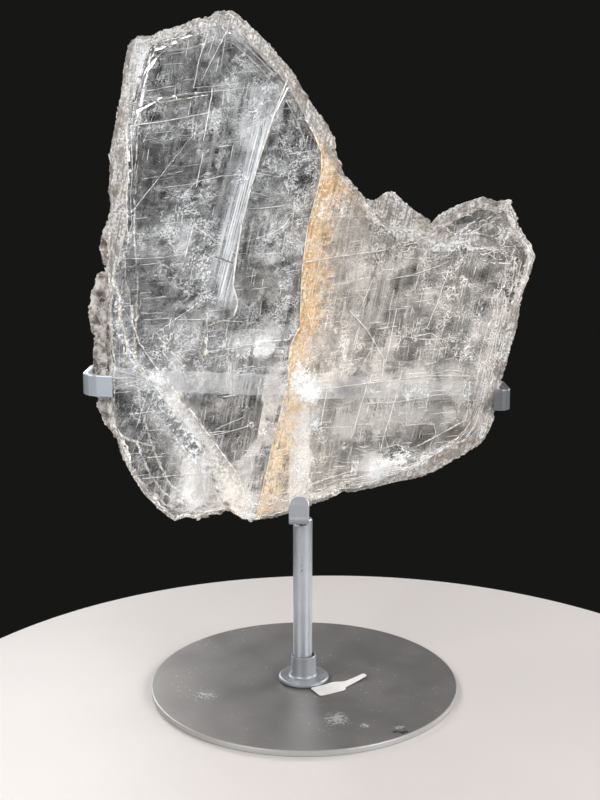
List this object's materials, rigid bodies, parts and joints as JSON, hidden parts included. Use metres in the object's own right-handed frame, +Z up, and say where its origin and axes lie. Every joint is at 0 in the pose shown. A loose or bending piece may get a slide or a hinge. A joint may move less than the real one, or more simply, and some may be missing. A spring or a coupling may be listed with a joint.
{
  "type": "selenite crystal plate on a metal display stand",
  "caption": "Clear and cloudy selenite plate with an iron stained seam, held upright by edge hooks on a round metal display stand.",
  "frame": {"origin": "centre of the base disc's underside, on the surface that the stand rests on", "axes": "+Z up along the post, -Y the front face of the crystal, +X to the right as seen from the front"},
  "size_m": [0.2223, 0.16, 0.34],
  "materials": {
    "selenite_crystal": "clear to cloudy cleavage plate with frosted broken edges and a rust orange seam",
    "grey_paint": "satin grey paint with dust, scratches and small chips",
    "tag_paper": "matt white paper, blank"
  },
  "bodies": {
    "root": {"selenite": "selenite_crystal", "base_disc": "grey_paint", "socket_flange": "grey_paint", "post": "grey_paint", "bottom_hook": "grey_paint", "cross_strap": "grey_paint", "paper_tag": "tag_paper"}
  },
  "joints": []
}
